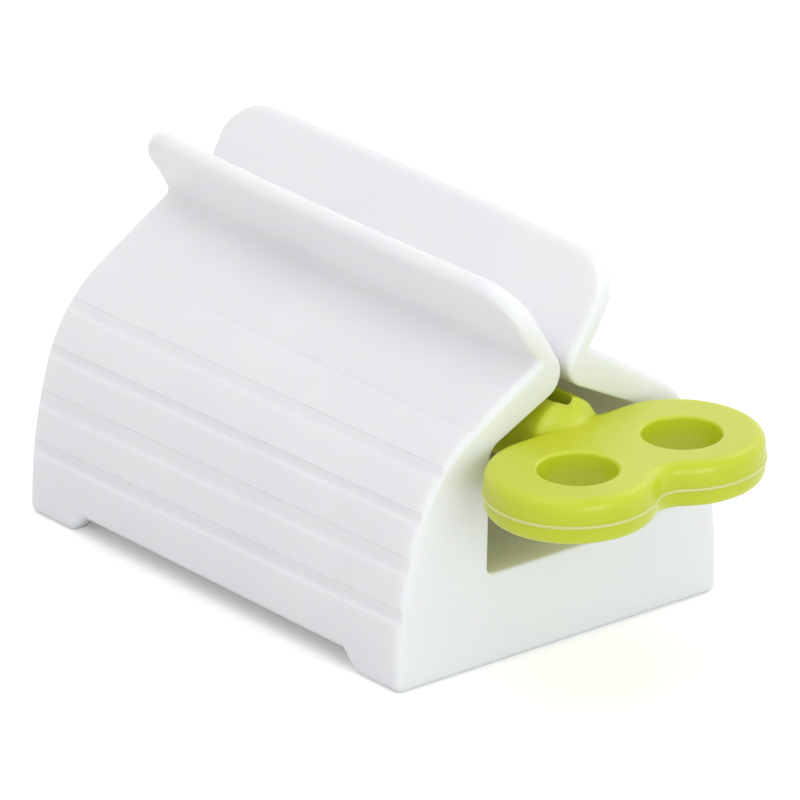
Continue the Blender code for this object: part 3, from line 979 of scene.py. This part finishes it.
def makeRidge():
    # the bead runs round the whole handle, and at its back it is buried where the shaft comes out
    made = bmesh.new()
    outline = handleOutline(key["ridgeRadius"], 60)
    ring = [made.verts.new((x, y, handleBottom + key["ridgeHeight"])) for x, y in outline]
    for i in range(len(ring)):
        made.edges.new((ring[i], ring[(i + 1) % len(ring)]))
    ridge = newObject("parting_ridge", made)
    useTree(ridge, ridgeTree(), Bead_Radius=key["ridgeRadius"], Bead_Sides=key["ridgeSides"],
            Material=ridgeHighlightPlastic)
    settle(ridge)
    turnKey(ridge)
    softShade(ridge, key["ridgeSharpAngle"])
    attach(ridge, "key")


def makeKey():
    # one skin of small voxels over handle and shaft, smoothed where they meet, then bored and split
    moulding = makeHandleBlank()
    shaft = makeShaft()
    boolean(moulding, shaft, "UNION")
    remesh = moulding.modifiers.new("Voxels", "REMESH")
    remesh.mode = "VOXEL"
    remesh.voxel_size = key["voxel"]
    remesh.use_smooth_shade = True
    settle(moulding, [shaft])
    group = moulding.vertex_groups.new(name="blend")
    for vertex in moulding.data.vertices:
        weight = blendWeight(vertex.co)
        if weight > 0:
            group.add([vertex.index], weight, "REPLACE")
    smoothMoulding(moulding, key["smoothRepeats"])
    smoothMoulding(moulding, key["blendRepeats"], "blend")
    tools = [makeHoleTool("leftHoleTool", -1), makeHoleTool("rightHoleTool", 1), makeSplitTool()]
    for tool in tools:
        boolean(moulding, tool, "DIFFERENCE")
    settle(moulding, tools)
    turnKey(moulding)
    moulding.vertex_groups.clear()
    softShade(moulding, key["sharpAngle"])
    moulding.data.materials.clear()
    moulding.data.materials.append(limePlastic)
    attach(moulding, "key")
    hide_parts("winding_key")


makeKey()
makeRidge()
print("key made")


# Floor, light and camera

studio = {
    "floorSize": 6.0,
    "floorColour": (0.81, 0.81, 0.81),
    "floorSeenColour": (0.97, 0.97, 0.97),
    "floorGlow": 0.25,
    "floorRoughness": 0.9,
    "floorGloss": 0.1,
    "worldColour": (1.0, 0.985, 0.98),
    "worldStrength": 0.725,
    "worldInGloss": 1.35,
    "lampAimHeight": 20.0 * mm,
    "lamps": (
        # name, azimuth from -Y towards +X, elevation, distance, size, power, colour
        ("sideLamp", 80.0, 12.0, 0.8, 0.5, 1.75, (0.86, 0.97, 1.0)),
        ("topLamp", 0.0, 75.0, 0.8, 0.5, 0.98, (0.94, 0.97, 1.0)),
        ("backLamp", 180.0, 45.0, 0.8, 0.5, 0.85, (1.0, 1.0, 1.0)),
    ),
}

view = {
    "place": (0.939192558, -0.807772334, 0.540867812),
    "azimuth": math.radians(49.481),
    "elevation": math.radians(22.637),
    "roll": math.radians(1.063),
    "lens": 483.6137,
    "sensor": 36.0,
    "clip": (0.05, 20.0),
}

pureWhite = (1.0, 1.0, 1.0, 1.0)


def seenByCamera(tree):
    # 1 for what the camera sees directly, in a gloss or through glass, and 0 for the light on the object
    path = addNode(tree, "ShaderNodeLightPath")
    gloss = mathNode(tree, "MAXIMUM", path.outputs["Is Glossy Ray"], path.outputs["Is Transmission Ray"])
    return mathNode(tree, "MAXIMUM", path.outputs["Is Camera Ray"], gloss)


def makeFloor():
    made = bmesh.new()
    half = studio["floorSize"] / 2
    corners = ((-half, -half), (half, -half), (half, half), (-half, half))
    made.faces.new([made.verts.new((x, y, 0.0)) for x, y in corners])
    floor = newObject("floor", made)
    material, tree, shader = startMaterial("paleFloor")
    seen = seenByCamera(tree)
    colour = mixColours(tree, seen, (*studio["floorColour"], 1.0), (*studio["floorSeenColour"], 1.0))
    for socketName, value in (
            ("Base Color", colour),
            ("Emission Color", pureWhite),
            ("Emission Strength", mathNode(tree, "MULTIPLY", seen, studio["floorGlow"])),
            ("Roughness", studio["floorRoughness"]),
            ("Specular IOR Level", studio["floorGloss"])):
        feed(tree, shader.inputs[socketName], value)
    floor.data.materials.append(material)


def makeWorld():
    world = bpy.data.worlds.new("studioWorld")
    bpy.context.scene.world = world
    world.use_nodes = True
    tree = world.node_tree
    light = tree.nodes["Background"]
    light.inputs["Color"].default_value = (*studio["worldColour"], 1.0)
    light.inputs["Strength"].default_value = studio["worldStrength"]
    seen = addNode(tree, "ShaderNodeBackground")
    seen.inputs["Color"].default_value = pureWhite
    # the bright backdrop shows stronger in a gloss than a white picture can show it
    path = addNode(tree, "ShaderNodeLightPath")
    extra = mathNode(tree, "MULTIPLY", path.outputs["Is Glossy Ray"], studio["worldInGloss"] - 1.0)
    tree.links.new(mathNode(tree, "ADD", extra, 1.0), seen.inputs["Strength"])
    mix = addNode(tree, "ShaderNodeMixShader")
    tree.links.new(seenByCamera(tree), mix.inputs["Fac"])
    tree.links.new(light.outputs["Background"], mix.inputs[1])
    tree.links.new(seen.outputs["Background"], mix.inputs[2])
    tree.links.new(mix.outputs["Shader"], tree.nodes["World Output"].inputs["Surface"])


def directionTo(azimuth, elevation):
    # from the object outwards; the azimuth counts from -Y towards +X
    level = math.cos(elevation)
    return Vector((math.sin(azimuth) * level, -math.cos(azimuth) * level, math.sin(elevation)))


def makeLamp(name, azimuth, elevation, distance, size, power, colour):
    lamp = bpy.data.lights.new(name, "AREA")
    lamp.shape = "DISK"
    lamp.size = size
    lamp.energy = power
    lamp.color = colour
    thing = bpy.data.objects.new(name, lamp)
    bpy.context.scene.collection.objects.link(thing)
    towards = directionTo(math.radians(azimuth), math.radians(elevation))
    thing.location = Vector((0.0, 0.0, studio["lampAimHeight"])) + distance * towards
    thing.rotation_mode = "QUATERNION"
    thing.rotation_quaternion = (-towards).to_track_quat("-Z", "Y")


def makeCamera():
    azimuth, roll = view["azimuth"], view["roll"]
    back = directionTo(azimuth, view["elevation"])
    level = Vector((math.cos(azimuth), math.sin(azimuth), 0.0))
    up = back.cross(level)
    right = level * math.cos(roll) + up * math.sin(roll)
    upright = up * math.cos(roll) - level * math.sin(roll)
    camera = bpy.data.cameras.new("camera")
    camera.lens = view["lens"]
    camera.sensor_width = view["sensor"]
    camera.clip_start, camera.clip_end = view["clip"]
    thing = bpy.data.objects.new("camera", camera)
    bpy.context.scene.collection.objects.link(thing)
    turn = Matrix((right, upright, back)).transposed().to_4x4()
    thing.matrix_world = Matrix.Translation(view["place"]) @ turn
    bpy.context.scene.camera = thing


makeFloor()
makeWorld()
for lampValues in studio["lamps"]:
    makeLamp(*lampValues)
makeCamera()
bpy.context.scene.view_settings.view_transform = "Standard"
print("studio made")
